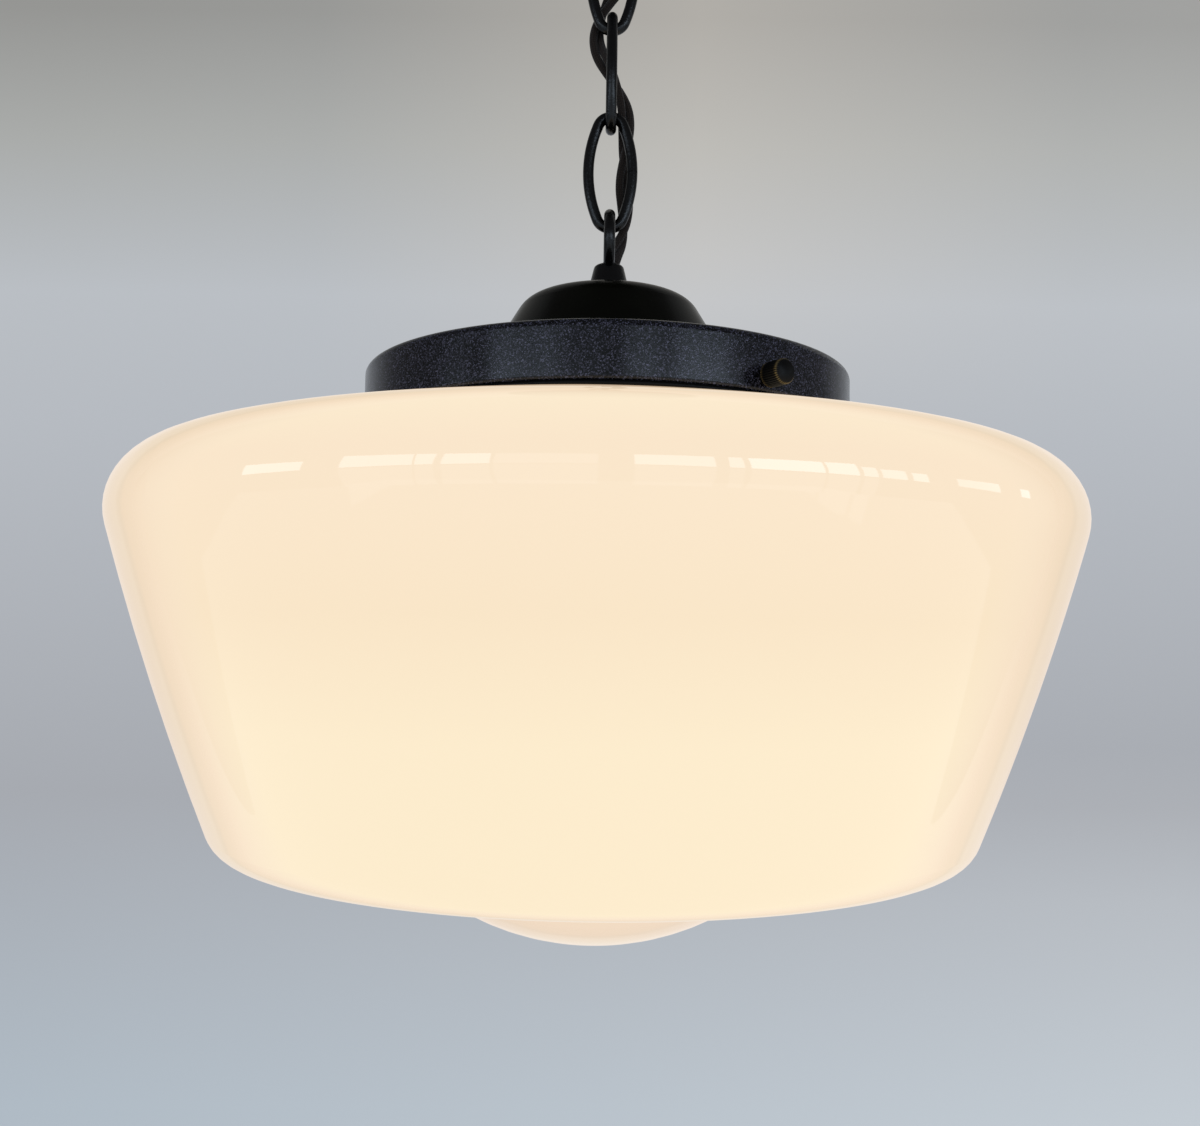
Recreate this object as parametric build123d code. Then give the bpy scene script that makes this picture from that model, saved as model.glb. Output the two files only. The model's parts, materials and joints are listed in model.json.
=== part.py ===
from build123d import *
import math
import os

# Schoolhouse pendant light hung on a short chain below a ceiling canopy.
# Millimetres. Z is up, the origin is the centre of the ceiling face of the mounting strap,
# and -Y is the side that faces the viewer.

# Mounting strap on the ceiling box
strap_width = 19.0
strap_thickness = 1.6
slot_spacing = 79.4
slot_length = 23.0
slot_width = 5.0
strap_past_slots = 4.8
strap_length = slot_spacing + slot_length + 2 * strap_past_slots
ground_screw_x = 19.0
ground_screw_shank_d = 4.0
ground_screw_flange_step = 1.0
ground_screw_hex_d = ground_screw_shank_d + 2 * ground_screw_flange_step
ground_screw_head_d = ground_screw_hex_d + 2 * ground_screw_flange_step
ground_screw_head_height = 3.0
ground_screw_flange = 0.9

# Threaded pipe and its nuts
pipe_d = 10.0
pipe_wall = 1.3
pipe_bore_d = pipe_d - 2 * pipe_wall
thread_clearance = 0.05
slip_clearance = 0.3
nut_wall = 2.15
nut_across_flats = pipe_d + 2 * nut_wall
nut_thickness = 4.0
nut_corner_chamfer = 0.6
washer_band = 2.5
washer_d = pipe_d + 2 * washer_band
washer_thickness = 1.0
strap_nipple_above = 6.0
strap_nipple_into_stem = 9.0

# Threaded stem of the canopy loop and the ring nut on it
stem_d = 25.4
stem_wall = 2.6
stem_above_canopy = 6.0
collar_nut_height = 7.0
collar_flange_band = 4.3
collar_grip_band = 2.8
collar_nut_d = stem_d + 2 * collar_flange_band
collar_nut_grip_d = stem_d + 2 * collar_grip_band
collar_flange = 2.0
collar_step = 0.6
collar_edge_round = 0.5
collar_foot_round = 1.2

# Ceiling canopy
canopy_past_strap = 7.5
canopy_d = strap_length + 2 * canopy_past_strap
canopy_depth = 24.0
canopy_rim_height = 4.0
canopy_past_collar = 4.0
canopy_crown_d = collar_nut_d + 2 * canopy_past_collar
canopy_shoulder_d = 92.5
canopy_shoulder_height = 8.0
canopy_bends = [9.0, 26.0, 1.6, 1.4]
canopy_sheet = 1.0
canopy_lip = 2.0
canopy_hole_clearance = 0.6

# Cast loops at both ends of the chain
loop_wire_d = 3.8
loop_centre_d = 18.4
wire_hole_d = pipe_bore_d
loop_top_wall = 1.2
loop_base_wall = 2.9
loop_neck_top_d = wire_hole_d + 2 * loop_top_wall
loop_neck_base_d = pipe_d + 2 * loop_base_wall
loop_neck_height = 12.3
loop_seat_to_ring = 20.4
loop_base_round = 0.5
loop_neck_round = 1.4
wire_hole_past_neck = 2.5
pipe_into_loop = 9.3

# Chain of oval links, each bent from round wire
link_wire_d = 3.7
link_length = 42.6
link_breadth = 18.7
link_end_radius = 4.6
link_seam = 0.25
link_clearance = 0.25
link_count = 3

# Spun cap above the shade holder
cap_height = 28.1
cap_crown_d = 55.4
cap_foot_d = 92.6
cap_flare = 5.9
cap_flare_d = cap_foot_d - 2 * cap_flare
cap_flare_height = 6.8
cap_flare_round = 12.0
cap_crown_round = 9.5
cap_sheet = 1.0

# Neck and lip of the glass
glass_wall = 3.5
glass_below_holder_top = 2.7
glass_shift_x = -2.7
neck_d = 138.2
lip_overhang = 4.1
lip_d = neck_d + 2 * lip_overhang
lip_height = 5.0
lip_slope = 1.5
lip_inner_round = 1.2
lip_outer_round = 1.6
lip_under_round = 1.0

# Shade holder
holder_sheet = 1.0
holder_past_lip = 5.95
holder_d = lip_d + 2 * (holder_past_lip + holder_sheet)
holder_edge_round = 2.2
holder_bead_d = 2.7
screw_collar_d = 7.4
screw_collar_depth = 2.2

# Thumbscrews: they meet the neck of the glass just below its lip
screw_angles = [-57.0, 63.0, 186.0]
screw_shank_d = 4.1
screw_head_d = 7.2
screw_head_length = 7.0
screw_head_past_holder = 2.95
screw_head_chamfer = 0.6
screw_tip_chamfer = 0.5
screw_fit = 0.07
screw_tip_gap = 0.12
screw_below_lip = 1.5
screw_length = (holder_d - neck_d) / 2 + screw_head_past_holder + screw_head_length
screw_drop = glass_below_holder_top + lip_height + lip_slope + screw_below_lip + screw_shank_d / 2
holder_below_screws = 4.45
holder_depth = screw_drop + holder_below_screws

# Opal glass shade: drops are measured down from the top of its lip
neck_below_screws = 1.5
neck_height = lip_height + lip_slope + screw_below_lip + screw_shank_d + neck_below_screws
neck_round = 2.5
shoulder_corner_d = 314.0
shoulder_fall = 20.3
shoulder_corner_drop = neck_height + shoulder_fall
shoulder_round = 19.0
shoulder_bow = 0.3
side_bow = 2.1
side_fall = 115.0
foot_corner_d = 237.6
foot_corner_drop = shoulder_corner_drop + side_fall
foot_round = 11.3
bottom_bow = 0.6
bottom_fall = 9.0
tip_d = 118.0
tip_drop = foot_corner_drop + bottom_fall
tip_depth = 23.0
tip_hollow = 12.0

# Screw base of the bulb
bulb_base_d = 26.1
bulb_base_length = 20.5
bulb_base_sheet = 0.6
bulb_base_fit = 0.05
bulb_base_chamfer = 2.0
bulb_base_roof = 1.0

# Lampholder
shell_fit = 0.1
shell_sheet = 0.4
shell_past_base = 1.15
socket_mouth_d = bulb_base_d + 2 * (shell_past_base + shell_sheet + shell_fit)
socket_body_wall = 4.1
socket_body_d = socket_mouth_d + 2 * socket_body_wall
socket_body_length = 33.0
socket_end_thickness = 6.0
socket_cavity_depth = socket_body_length - socket_end_thickness
socket_body_gap = 0.5
socket_body_foot_round = 1.5
socket_body_top_round = 2.0
shell_above_mouth = 4.0
shell_length = socket_cavity_depth - shell_above_mouth
shell_floor_hole_d = 15.0
socket_cap_sheet = 1.3
socket_cap_past_body = 0.4
socket_cap_d = socket_body_d + 2 * (socket_cap_past_body + socket_cap_sheet)
socket_cap_neck_wall = 2.0
socket_cap_neck_d = pipe_d + 2 * socket_cap_neck_wall
socket_cap_neck_height = 6.0
socket_cap_dome_height = 12.0
socket_cap_skirt = 5.0
socket_cap_shoulder = 3.0
socket_cap_dome_round = 8.0
socket_cap_top_round = 3.0
pipe_into_socket_cap = 2.0
terminal_x = 9.0
terminal_head_d = 5.6
terminal_head_height = 2.4
terminal_shank_d = 2.8
terminal_shank_length = 3.5
terminal_fit = 0.05
terminal_head_gap = 0.1
contact_width = 5.0
contact_thickness = 0.5
contact_drop = 3.0
contact_reach = 4.0
rivet_d = 4.0
rivet_fit = 0.1
rivet_above_body = 0.8

# Bulb
bulb_length = 108.0
bulb_d = 60.0
bulb_housing_d = 45.0
bulb_housing_length = 26.0
bulb_tip_d = 9.0
bulb_tip_height = 1.4
bulb_insulator_height = 2.4
bulb_tip_gap = 0.25
insulator_top_step = 0.6
insulator_base_step = 2.5
housing_collar_step = 0.6
housing_hollow = 1.6
diffuser_rim_step = 0.1
diffuser_neck_inset = 3.0
diffuser_neck_height = 12.0

# Cord and conductors
cord_d = 5.6
lead_d = 2.4
connector_d = 9.6
connector_length = 17.0
connector_top = -3.0
connector_x = 9.0
connector_from_strap = 2.0
connector_taper = 0.8
connector_nose_height = 5.0
connector_nose_step = 2.4
connector_bore_depth = 9.0

# How far a cutting or joining shape runs past a face
beyond = 1.0


def turned(outline):
    """Solid of revolution about Z from a closed outline drawn as (radius, height)."""
    return revolve(Plane.XZ * make_face(outline), Axis.Z)


def spun_sheet(points, radii, thickness):
    """Spun sheet metal: the outer contour with the inside on its left, thickened that way."""
    contour = FilletPolyline(*points, radius=radii)
    band = offset(contour, amount=thickness, side=Side.LEFT, closed=True)
    return turned(band)


def rod(diameter, top, bottom):
    """Round bar on the Z axis between two heights."""
    return Pos(0, 0, bottom) * Cylinder(
        diameter / 2, top - bottom, align=(Align.CENTER, Align.CENTER, Align.MIN)
    )


def tube(diameter, bore, top, bottom):
    """Round tube on the Z axis between two heights."""
    return rod(diameter, top, bottom) - rod(bore, top + beyond, bottom - beyond)


def hexagonal_nut(top, bore):
    """Hexagonal nut on the Z axis, hanging down from its top face."""
    blank = extrude(RegularPolygon(nut_across_flats / 2, 6, major_radius=False), nut_thickness)
    blank = Pos(0, 0, top - nut_thickness) * blank
    corner = nut_across_flats / math.sqrt(3)
    rounding = rod(2 * corner - nut_corner_chamfer, top, top - nut_thickness)
    rounding = chamfer(rounding.edges().filter_by(GeomType.CIRCLE), nut_corner_chamfer)
    return (blank & rounding) - rod(bore, top + beyond, top - nut_thickness - beyond)


def tube_along(points, diameter, bend_share=0.45):
    """Round tube along straight runs joined by the largest tangent arcs that the runs allow."""
    radii = []
    for before, here, after in zip(points, points[1:], points[2:]):
        run_in = Vector(*here) - Vector(*before)
        run_out = Vector(*after) - Vector(*here)
        half_turn = math.radians(run_in.get_angle(run_out)) / 2
        radii.append(bend_share * min(run_in.length, run_out.length) / math.tan(half_turn))
    path = FilletPolyline(*points, radius=radii)
    start = Plane(origin=path @ 0, z_dir=path % 0)
    solid = sweep(start * Circle(diameter / 2), path=path)
    wanted = math.pi * diameter**2 / 4 * path.length
    return solid, path.length, radii, solid.volume / wanted


def save(shape, node, colour):
    """Write one sub-part to its own STEP file."""
    shape.label = node
    shape.color = Color(*colour)
    export_step(shape, "parts/" + node + ".step")


def grouped(solids):
    """Several separate solids of one kind, kept together in one sub-part."""
    return Compound(children=list(solids))


black_metal = (0.05, 0.05, 0.055)
steel = (0.62, 0.63, 0.65)
brass = (0.78, 0.62, 0.3)
opal = (0.98, 0.93, 0.84)
phenolic = (0.12, 0.1, 0.09)
cloth = (0.13, 0.09, 0.07)
green = (0.1, 0.45, 0.2)

os.makedirs("parts", exist_ok=True)

# Heights from the ceiling down
strap_bottom = -strap_thickness
locknut_top = strap_bottom
canopy_bottom = -canopy_depth
collar_nut_bottom = canopy_bottom - collar_nut_height
canopy_loop_ring = collar_nut_bottom - loop_seat_to_ring
hinge_lift = (link_wire_d + loop_wire_d) / 2 + link_clearance
chain_lift = link_wire_d + link_clearance
link_pitch = link_length - link_wire_d - chain_lift
first_hinge = canopy_loop_ring - loop_centre_d / 2
hinge_heights = [first_hinge]
first_link_bottom = first_hinge + hinge_lift - (link_length - link_wire_d)
for index in range(link_count):
    hinge_heights.append(first_link_bottom - index * link_pitch)
fixture_loop_ring = hinge_heights[-1] + hinge_lift - loop_centre_d / 2
cap_top = fixture_loop_ring - loop_seat_to_ring
holder_top = cap_top - cap_height
plate_bottom = holder_top - holder_sheet
washer_bottom = plate_bottom - washer_thickness
nut_bottom = washer_bottom - nut_thickness


# Mounting strap: flat steel bar with rounded ends, two screw slots and a tapped centre hole
strap_plan = SlotOverall(strap_length, strap_width)
strap_plan -= Circle(pipe_d / 2 + thread_clearance)
for side in (-1, 1):
    strap_plan -= Pos(side * slot_spacing / 2, 0) * SlotOverall(slot_length, slot_width)
strap_plan -= Pos(ground_screw_x, 0) * Circle(ground_screw_shank_d / 2 + thread_clearance)
mounting_strap = Pos(0, 0, strap_bottom) * extrude(strap_plan, strap_thickness)
save(mounting_strap, "mounting_strap", steel)

# Ground screw: hexagonal washer head below the strap
ground_head = extrude(RegularPolygon(ground_screw_hex_d / 2, 6), ground_screw_head_height)
ground_head = Pos(ground_screw_x, 0, strap_bottom - ground_screw_head_height) * ground_head
ground_screw = rod(ground_screw_head_d, strap_bottom, strap_bottom - ground_screw_flange)
ground_screw += rod(ground_screw_shank_d, 0, strap_bottom - ground_screw_flange)
save(ground_head + Pos(ground_screw_x, 0, 0) * ground_screw, "ground_screw", green)

# Hollow pipe through the strap and the nut that locks it
strap_nipple_bottom = canopy_bottom + stem_above_canopy - strap_nipple_into_stem
strap_nipple = tube(pipe_d, pipe_bore_d, strap_nipple_above, strap_nipple_bottom)
save(strap_nipple, "strap_nipple", steel)
strap_locknut = hexagonal_nut(locknut_top, pipe_d + 2 * thread_clearance)
save(strap_locknut, "strap_locknut", steel)

# Ceiling canopy: spun dish, its rim against the ceiling, with a hole for the threaded stem
canopy_rim_r = canopy_d / 2
canopy_crown_r = canopy_crown_d / 2
stem_hole_r = stem_d / 2 + canopy_hole_clearance
canopy_points = [
    (stem_hole_r, canopy_bottom),
    (canopy_crown_r, canopy_bottom),
    (canopy_shoulder_d / 2, canopy_bottom + canopy_shoulder_height),
    (canopy_rim_r - canopy_lip, -canopy_rim_height - canopy_lip),
    (canopy_rim_r, -canopy_rim_height),
    (canopy_rim_r, 0),
]
ceiling_canopy = spun_sheet(canopy_points, canopy_bends, canopy_sheet)
save(ceiling_canopy, "ceiling_canopy", black_metal)


def cast_loop(seat, ring_height, upward):
    """Ring standing on a tapered neck, cast in one piece, with the cord's hole down the axis."""
    sign = 1 if upward else -1
    neck_end = seat + sign * loop_neck_height
    neck = FilletPolyline(
        (0, seat),
        (loop_neck_base_d / 2, seat),
        (loop_neck_top_d / 2, neck_end),
        (0, neck_end),
        radius=[0, loop_base_round, loop_neck_round, 0],
        close=True,
    )
    ring = Pos(0, 0, ring_height) * Rot(0, 90, 0) * Torus(loop_centre_d / 2, loop_wire_d / 2)
    body = turned(neck) + ring
    low, high = sorted((seat - sign * beyond, neck_end + sign * wire_hole_past_neck))
    return body - rod(wire_hole_d, high, low)


# Canopy loop: threaded hollow stem closed by a web, tapped for the pipe, with the ring below
stem_top = canopy_bottom + stem_above_canopy
stem_bottom = collar_nut_bottom
canopy_loop = cast_loop(stem_bottom, canopy_loop_ring, False)
canopy_loop += tube(stem_d, stem_d - 2 * stem_wall, stem_top, stem_bottom + stem_wall)
canopy_loop += rod(stem_d, stem_bottom + stem_wall, stem_bottom)
canopy_loop += rod(pipe_d + 2 * stem_wall, stem_top, stem_bottom)
canopy_loop -= rod(pipe_d + 2 * thread_clearance, stem_top + beyond, strap_nipple_bottom)
canopy_loop -= rod(wire_hole_d, stem_top + beyond, stem_bottom - loop_neck_height)
save(canopy_loop, "canopy_loop", black_metal)

# Ring nut on the stem: a flange under the canopy and a narrower grip below it
nut_bore = stem_d + 2 * thread_clearance
collar_outline = FilletPolyline(
    (nut_bore / 2, canopy_bottom),
    (collar_nut_d / 2, canopy_bottom),
    (collar_nut_d / 2, canopy_bottom - collar_flange),
    (collar_nut_grip_d / 2, canopy_bottom - collar_flange - collar_step),
    (collar_nut_grip_d / 2, collar_nut_bottom),
    (nut_bore / 2, collar_nut_bottom),
    radius=[0, collar_edge_round, collar_edge_round, collar_edge_round, collar_foot_round, 0],
    close=True,
)
save(turned(collar_outline), "canopy_collar", black_metal)


# Chain link: four tangent arcs make the oval, swept with the round wire, butt joint in one side
def oval_link(top_centre, across_x):
    half_length = (link_length - link_wire_d) / 2
    half_breadth = (link_breadth - link_wire_d) / 2
    end_offset = half_length - link_end_radius
    side_radius = (half_breadth**2 + end_offset**2 - link_end_radius**2) / (
        2 * (half_breadth - link_end_radius)
    )
    side_offset = side_radius - half_breadth
    joint_x = link_end_radius * side_offset / (side_radius - link_end_radius)
    joint_y = end_offset * side_radius / (side_radius - link_end_radius)
    top = ThreePointArc((-joint_x, joint_y), (0, half_length), (joint_x, joint_y))
    right = ThreePointArc((joint_x, joint_y), (half_breadth, 0), (joint_x, -joint_y))
    bottom = ThreePointArc((joint_x, -joint_y), (0, -half_length), (-joint_x, -joint_y))
    left = ThreePointArc((-joint_x, -joint_y), (-half_breadth, 0), (-joint_x, joint_y))
    path = Wire([top, right, bottom, left])
    wire = sweep(Plane(path @ 0, z_dir=path % 0) * Circle(link_wire_d / 2), path=path)
    wire -= Pos(half_breadth, 0, 0) * Box(2 * link_wire_d, link_seam, 2 * link_wire_d)
    upright = Pos(0, 0, top_centre - half_length) * Rot(0, 0, 0 if across_x else 90)
    return upright * Rot(90, 0, 0) * wire


for index in range(link_count):
    top_centre = hinge_heights[index + 1] + link_length - link_wire_d
    save(oval_link(top_centre, index % 2 == 0), "link_" + str(index + 1), black_metal)

# Fixture loop: the same casting, standing on the cap
fixture_loop = cast_loop(cap_top, fixture_loop_ring, True)
fixture_nipple_top = cap_top + pipe_into_loop
fixture_loop -= rod(pipe_d + 2 * thread_clearance, fixture_nipple_top, cap_top - beyond)
save(fixture_loop, "fixture_loop", black_metal)

# Vase cap: spun, rounded crown, straight flank and a flared foot on the holder
cap_foot_r = cap_foot_d / 2
cap_points = [
    (cap_foot_r, holder_top),
    (cap_flare_d / 2, holder_top + cap_flare_height),
    (cap_crown_d / 2, cap_top),
    (pipe_d / 2 + slip_clearance, cap_top),
]
vase_cap = spun_sheet(cap_points, [cap_flare_round, cap_crown_round], cap_sheet)
vase_cap &= rod(2 * cap_foot_d, cap_top, holder_top)
save(vase_cap, "vase_cap", black_metal)

# Shade holder: spun pan with a rolled lower edge
holder_r = holder_d / 2
holder_bottom = holder_top - holder_depth
bead_r = holder_bead_d / 2
holder_points = [
    (holder_r, holder_bottom + bead_r),
    (holder_r, holder_top),
    (pipe_d / 2 + slip_clearance, holder_top),
]
shade_holder = spun_sheet(holder_points, [holder_edge_round], holder_sheet)
bead = Pos(0, 0, holder_bottom + bead_r) * Torus(holder_r - bead_r, bead_r)
shade_holder += bead

# Each screw hole is drawn inwards into a short tapped collar
screw_z = holder_top - screw_drop


def on_screw_axis(angle, shape):
    """Place a shape drawn along +Z from the lamp's axis so that it points outwards at this angle."""
    return Pos(0, 0, screw_z) * Rot(0, 0, angle) * Rot(0, 90, 0) * shape


wall_inside = holder_r - holder_sheet
for angle in screw_angles:
    drawn = rod(screw_collar_d, wall_inside + holder_sheet / 2, wall_inside - screw_collar_depth)
    shade_holder += on_screw_axis(angle, drawn)
for angle in screw_angles:
    bore_end = wall_inside - screw_collar_depth - beyond
    hole = rod(screw_shank_d + 2 * screw_fit, holder_r + beyond, bore_end)
    shade_holder -= on_screw_axis(angle, hole)
save(shade_holder, "shade_holder", black_metal)


# Thumbscrews: each one is turned in until its tip meets the neck of the glass
def neck_reach(angle):
    """Distance along a screw's axis from the lamp's axis to the neck of the glass."""
    toward = glass_shift_x * math.cos(math.radians(angle))
    aside = glass_shift_x * math.sin(math.radians(angle))
    return toward + math.sqrt((neck_d / 2) ** 2 - aside**2)


for index, angle in enumerate(screw_angles):
    tip = neck_reach(angle) + screw_tip_gap
    head_back = tip + screw_length - screw_head_length
    shank = rod(screw_shank_d, head_back + beyond, tip)
    shank = chamfer(shank.edges().sort_by(Axis.Z)[0], screw_tip_chamfer)
    head = rod(screw_head_d, tip + screw_length, head_back)
    head = chamfer(head.edges().filter_by(GeomType.CIRCLE), screw_head_chamfer)
    save(on_screw_axis(angle, shank + head), "thumbscrew_" + str(index + 1), black_metal)

# Glass shade: one blown wall. Its outline runs down from the neck as arcs with rounded corners,
# and the hollow is the same outline moved in by the wall's thickness.
lip_top = holder_top - glass_below_holder_top


def shade_edges(corners):
    """Outline from the neck to the centre of the tip, whose arc is level where it meets the axis."""
    neck, shoulder_start, shoulder, foot, tip_edge, tip_centre = corners
    half_chord = math.dist(tip_edge, tip_centre) / 2
    tip_radius = 2 * half_chord**2 / (tip_edge[1] - tip_centre[1])
    tip_bow = tip_radius - math.sqrt(tip_radius**2 - half_chord**2)
    return [
        Line(neck, shoulder_start),
        SagittaArc(shoulder_start, shoulder, shoulder_bow),
        SagittaArc(shoulder, foot, side_bow),
        SagittaArc(foot, tip_edge, bottom_bow),
        SagittaArc(tip_edge, tip_centre, tip_bow),
    ]


def moved_in(edges, distance):
    """Corners of the outline after every edge has moved towards the inside."""
    corners = [(neck_d / 2 - distance, lip_top)]
    for above, below in zip(edges, edges[1:]):
        above_in = Vector((above % 1).Y, -(above % 1).X)
        below_in = Vector((below % 0).Y, -(below % 0).X)
        shift = (above_in + below_in) * (distance / (1 + above_in.dot(below_in)))
        corners.append(((above @ 1).X + shift.X, (above @ 1).Y + shift.Y))
    corners.append((0, (edges[-1] @ 1).Y + distance))
    return corners


def filled(edges, radii):
    """Half section between the outline and the axis, with the outline's corners rounded."""
    face = make_face(edges + Polyline(edges[-1] @ 1, (0, lip_top), edges[0] @ 0).edges())
    for edge, radius in zip(edges, radii):
        face = fillet(face.vertices().sort_by_distance(edge @ 1)[0], radius)
    return face


outer_corners = [
    (neck_d / 2, lip_top),
    (neck_d / 2, lip_top - neck_height),
    (shoulder_corner_d / 2, lip_top - shoulder_corner_drop),
    (foot_corner_d / 2, lip_top - foot_corner_drop),
    (tip_d / 2, lip_top - tip_drop),
    (0, lip_top - tip_drop - tip_depth),
]
outer_edges = shade_edges(outer_corners)
outer_radii = [neck_round, shoulder_round, foot_round, tip_hollow]
hollow_radii = [
    neck_round + glass_wall,
    shoulder_round - glass_wall,
    foot_round - glass_wall,
    tip_hollow + glass_wall,
]
hollow_edges = shade_edges(moved_in(outer_edges, glass_wall))
wall_face = filled(outer_edges, outer_radii) - filled(hollow_edges, hollow_radii)
lip_outline = FilletPolyline(
    (neck_d / 2 - glass_wall, lip_top),
    (lip_d / 2, lip_top),
    (lip_d / 2, lip_top - lip_height),
    (neck_d / 2, lip_top - lip_height - lip_slope),
    (neck_d / 2 - glass_wall, lip_top - lip_height - lip_slope),
    radius=[lip_inner_round, lip_outer_round, lip_under_round, 0, 0],
    close=True,
)
wall_face += make_face(lip_outline)
glass_shade = Pos(glass_shift_x, 0, 0) * turned(wall_face.wire())
save(glass_shade, "glass_shade", opal)

# Pipe, washer and nut that clamp loop, cap and holder together
socket_cap_top = nut_bottom
socket_dome_top = socket_cap_top - socket_cap_neck_height
fixture_nipple_bottom = socket_dome_top - pipe_into_socket_cap
fixture_nipple = tube(pipe_d, pipe_bore_d, fixture_nipple_top, fixture_nipple_bottom)
save(fixture_nipple, "fixture_nipple", steel)
lock_washer = tube(washer_d, pipe_d + 2 * slip_clearance, plate_bottom, washer_bottom)
save(lock_washer, "lock_washer", steel)
hex_nut = hexagonal_nut(washer_bottom, pipe_d + 2 * thread_clearance)
save(hex_nut, "hex_nut", steel)

# Lampholder cap: tapped neck, rounded dome and a short skirt round the body
socket_skirt_top = socket_dome_top - socket_cap_dome_height
socket_skirt_bottom = socket_skirt_top - socket_cap_skirt
socket_cap_points = [
    (socket_cap_d / 2, socket_skirt_bottom),
    (socket_cap_d / 2, socket_skirt_top),
    (socket_cap_neck_d / 2 + socket_cap_shoulder, socket_dome_top),
    (pipe_d / 2 + thread_clearance, socket_dome_top),
]
socket_cap_bends = [socket_cap_dome_round, socket_cap_top_round]
lampholder_cap = spun_sheet(socket_cap_points, socket_cap_bends, socket_cap_sheet)
neck_foot = socket_dome_top - socket_cap_sheet
lampholder_cap += tube(socket_cap_neck_d, pipe_d + 2 * thread_clearance, socket_cap_top, neck_foot)
save(lampholder_cap, "lampholder_cap", brass)

# Lampholder body: moulded cup, open below, with its terminals on the closed end
socket_body_top = socket_skirt_top - socket_body_gap
socket_mouth = socket_body_top - socket_body_length
cavity_top = socket_mouth + socket_cavity_depth
lampholder_body = rod(socket_body_d, socket_body_top, socket_mouth)
lampholder_body = fillet(lampholder_body.edges().sort_by(Axis.Z)[0], socket_body_foot_round)
lampholder_body = fillet(lampholder_body.edges().sort_by(Axis.Z)[-1], socket_body_top_round)
lampholder_body -= rod(socket_mouth_d, cavity_top, socket_mouth - beyond)
lampholder_body -= rod(rivet_d + 2 * rivet_fit, socket_body_top + beyond, cavity_top - beyond)
for side in (-1, 1):
    screw_hole = rod(
        terminal_shank_d + 2 * terminal_fit,
        socket_body_top + beyond,
        socket_body_top - terminal_shank_length - terminal_fit,
    )
    lampholder_body -= Pos(side * terminal_x, 0, 0) * screw_hole
save(lampholder_body, "lampholder_body", phenolic)

# Screw shell: thin brass cup in the body's cavity, open below and holed above
shell_d = socket_mouth_d - 2 * shell_fit
shell_top = cavity_top - shell_fit
shell_bottom = shell_top - shell_length
screw_shell = rod(shell_d, shell_top, shell_bottom)
screw_shell -= rod(shell_d - 2 * shell_sheet, shell_top - shell_sheet, shell_bottom - beyond)
screw_shell -= rod(shell_floor_hole_d, shell_top + beyond, shell_top - beyond)
save(screw_shell, "screw_shell", brass)

# Centre contact: rivet through the body and a springy tongue bent down to the bulb's tip
rivet = rod(rivet_d, socket_body_top + rivet_above_body, cavity_top - contact_thickness)
tongue_path = FilletPolyline(
    (-contact_reach, cavity_top - contact_thickness / 2),
    (contact_reach, cavity_top - contact_thickness / 2),
    (-contact_reach, cavity_top - contact_drop),
    (contact_reach, cavity_top - contact_drop),
    radius=[1.2 * contact_thickness, 1.8 * contact_thickness],
)
tongue_band = offset(tongue_path, amount=contact_thickness / 2, side=Side.BOTH)
tongue = extrude(Plane.XZ * make_face(tongue_band), contact_width / 2, both=True)
centre_contact = rivet + tongue
save(centre_contact, "centre_contact", brass)

# Terminal screws in the closed end
terminals = []
for side in (-1, 1):
    head_bottom = socket_body_top + terminal_head_gap
    screw = rod(terminal_head_d, head_bottom + terminal_head_height, head_bottom)
    screw += rod(terminal_shank_d, head_bottom + beyond, socket_body_top - terminal_shank_length)
    terminals.append(Pos(side * terminal_x, 0, 0) * screw)
save(grouped(terminals), "terminal_screws", brass)

# Bulb: screw base with its contact, tapered housing and round diffuser
contact_face = cavity_top - contact_drop - contact_thickness / 2
bulb_top = contact_face - bulb_tip_gap
base_top = bulb_top - bulb_tip_height - bulb_insulator_height
base_bottom = base_top - bulb_base_length
bulb_contact = rod(bulb_tip_d, bulb_top, bulb_top - bulb_tip_height)
insulator = FilletPolyline(
    (0, bulb_top - bulb_tip_height),
    (bulb_tip_d / 2 + insulator_top_step, bulb_top - bulb_tip_height),
    (bulb_base_d / 2 - insulator_base_step, base_top),
    (0, base_top),
    radius=0,
    close=True,
)
bulb_contact += turned(insulator)
save(bulb_contact, "bulb_contact", phenolic)
bulb_screw_base = rod(bulb_base_d, base_top, base_bottom)
bulb_screw_base = chamfer(bulb_screw_base.edges().sort_by(Axis.Z)[-1], bulb_base_chamfer)
plug_d = bulb_base_d - 2 * bulb_base_sheet
plug_top = base_top - 2 * bulb_base_sheet - bulb_base_roof
bulb_screw_base -= rod(plug_d, plug_top, base_bottom - beyond)
save(bulb_screw_base, "bulb_screw_base", steel)
housing_bottom = base_bottom - bulb_housing_length
collar_edge = (bulb_base_d / 2 + housing_collar_step, base_bottom)
housing_outline = Polyline((0, base_bottom), collar_edge)
housing_side = SagittaArc(collar_edge, (bulb_housing_d / 2, housing_bottom), -housing_hollow)
housing_floor = Polyline((bulb_housing_d / 2, housing_bottom), (0, housing_bottom), (0, base_bottom))
bulb_housing = turned([housing_outline, housing_side, housing_floor])
bulb_housing += rod(plug_d - 2 * bulb_base_fit, plug_top, base_bottom - beyond)
save(bulb_housing, "bulb_housing", opal)
bulb_bottom = bulb_top - bulb_length
globe_centre = bulb_bottom + bulb_d / 2
diffuser = Pos(0, 0, globe_centre) * Sphere(bulb_d / 2)
shoulder = Cone(
    bulb_d / 2 - diffuser_neck_inset,
    bulb_housing_d / 2 - diffuser_rim_step,
    housing_bottom - globe_centre - diffuser_neck_height,
    align=(Align.CENTER, Align.CENTER, Align.MIN),
)
diffuser += Pos(0, 0, globe_centre + diffuser_neck_height) * shoulder
diffuser &= rod(2 * bulb_d, housing_bottom, bulb_bottom - beyond)
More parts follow.
